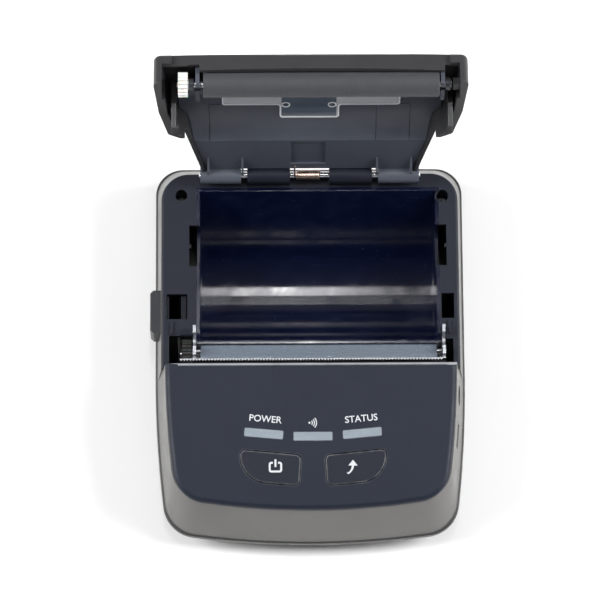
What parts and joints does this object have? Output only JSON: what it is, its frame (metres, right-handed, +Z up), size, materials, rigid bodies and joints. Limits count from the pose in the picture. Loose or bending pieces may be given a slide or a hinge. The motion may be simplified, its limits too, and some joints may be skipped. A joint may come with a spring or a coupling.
{
  "type": "receipt printer",
  "caption": "Portable thermal receipt printer with a drop-in paper bay, hinged lid that carries the platen roller, print head, tear bar, control panel, and removable battery.",
  "frame": {"origin": "on the surface the feet stand on, under the middle of the open printer", "axes": "+Z up, +X to the right of someone facing the control panel, +Y from the control panel towards the lid hinge"},
  "size_m": [0.1095, 0.1482, 0.1025],
  "materials": {
    "bottom_case": "fine spark-eroded texture",
    "side_band": "satin champagne-silver paint over plastic",
    "feet": "matt",
    "screws": "zinc-plated",
    "panel": "soft-touch blue-grey",
    "deck": "fine texture",
    "tray": "polished, near black",
    "sensor": "moulded",
    "light": "translucent, pale blue",
    "board": "solder mask",
    "chips": "moulded packages",
    "radio": "shield can",
    "switches": "stamped",
    "leds": "clear resin",
    "socket_steel": "tin-plated",
    "jack": "moulded, plated pin",
    "contacts": "gold-plated",
    "pin": "ground",
    "hinge_spring": "copper-coloured wire",
    "bracket": "stamped and bent",
    "tear_bar": "ground teeth",
    "spring": "spring wire",
    "motor": "zinc-plated can",
    "button": "satin, printed white mark",
    "battery_case": "fine texture",
    "cells": "blue sleeve",
    "head": "glazed, bluish glare",
    "heatsink": "milled",
    "pinion": "turned",
    "gear": "white, moulded",
    "gear_dark": "black acetal",
    "release": "fine texture",
    "lid_cover": "satin grey paint",
    "lid_inner": "fine texture",
    "guide": "clear",
    "bushing": "grey acetal",
    "roller": "ground, matt",
    "clip": "blackened"
  },
  "bodies": {
    "body": {"bottom_case": "bottom_case", "side_band": "side_band", "rubber_feet": "feet", "case_screws": "screws", "top_panel": "panel", "inner_frame": "deck", "paper_tray": "tray", "paper_sensor": "sensor", "frame_screws": "screws", "power_light": "light", "radio_light": "light", "status_light": "light", "main_board": "board", "board_screws": "screws", "board_chips": "chips", "wireless_module": "radio", "tact_switches": "switches", "status_leds": "leds", "usb_socket": "socket_steel", "dc_jack": "jack", "battery_contacts": "contacts", "hinge_pin": "pin", "hinge_spring": "hinge_spring", "mechanism_frame": "bracket", "tear_bar": "tear_bar", "head_springs": "spring", "feed_motor": "motor", "gear_studs": "pin", "release_spring": "spring"},
    "power_button": {"power_button": "button"},
    "feed_button": {"feed_button": "button"},
    "battery": {"battery_case": "battery_case", "battery_cells": "cells", "battery_cover": "bottom_case"},
    "thermal_head": {"print_head": "head", "head_heatsink": "heatsink"},
    "pinion": {"motor_pinion": "pinion"},
    "idler": {"idler_gear": "gear_dark"},
    "drive_gear": {"drive_gear": "gear_dark"},
    "release": {"release_button": "release", "latch_slider": "deck"},
    "lid": {"spring_leg": "hinge_spring", "lid_cover": "lid_cover", "lid_inner_plate": "lid_inner", "paper_guide": "guide", "platen_bushings": "bushing"},
    "platen": {"platen_shaft": "pin", "platen_roller": "roller", "platen_gear": "gear", "shaft_clips": "clip"}
  },
  "joints": [
    {"name": "lid_hinge", "type": "hinge", "parent": "body", "child": "lid", "pos_m": [0, 0.05095, 0.038], "axis": [1, 0, 0], "range_deg": [0, 105], "stiffness_Nm_per_rad": 0.006, "springref_deg": -45.84, "deforming": ["hinge_spring"]},
    {"name": "platen_spin", "type": "hinge", "parent": "lid", "child": "platen", "pos_m": [0, 0.06482, 0.09516], "axis": [1, 0, 0], "continuous": true},
    {"name": "idler_spin", "type": "hinge", "parent": "body", "child": "idler", "pos_m": [0, -0.01963, 0.02247], "axis": [1, 0, 0], "continuous": true},
    {"name": "drive_gear_spin", "type": "hinge", "parent": "body", "child": "drive_gear", "pos_m": [0, -0.01045, 0.02735], "axis": [1, 0, 0], "continuous": true},
    {"name": "pinion_spin", "type": "hinge", "parent": "body", "child": "pinion", "pos_m": [0, -0.02736, 0.0204], "axis": [1, 0, 0], "continuous": true},
    {"name": "head_rock", "type": "hinge", "parent": "body", "child": "thermal_head", "pos_m": [0, -0.00995, 0.0292], "axis": [1, 0, 0], "range_deg": [0, 1.5], "stiffness_Nm_per_rad": 0.3, "springref_deg": -4.58, "deforming": ["head_springs"]},
    {"name": "release_slide", "type": "slide", "parent": "body", "child": "release", "axis": [1, 0, 0], "range_m": [0, 0.0016], "stiffness_N_per_m": 400, "springref_m": -0.002, "deforming": ["release_spring"]},
    {"name": "power_button_press", "type": "slide", "parent": "body", "child": "power_button", "axis": [0, 0, -1], "range_m": [0, 0.0005], "stiffness_N_per_m": 800, "springref_m": -0.0005},
    {"name": "feed_button_press", "type": "slide", "parent": "body", "child": "feed_button", "axis": [0, 0, -1], "range_m": [0, 0.0005], "stiffness_N_per_m": 800, "springref_m": -0.0005},
    {"name": "battery_slide", "type": "slide", "parent": "body", "child": "battery", "axis": [0, 0, -1], "range_m": [0, 0.022]}
  ],
  "couplings": [
    {"joint": "drive_gear_spin", "follows": "idler_spin", "ratio": -1.1667},
    {"joint": "pinion_spin", "follows": "idler_spin", "ratio": -2.3333}
  ]
}
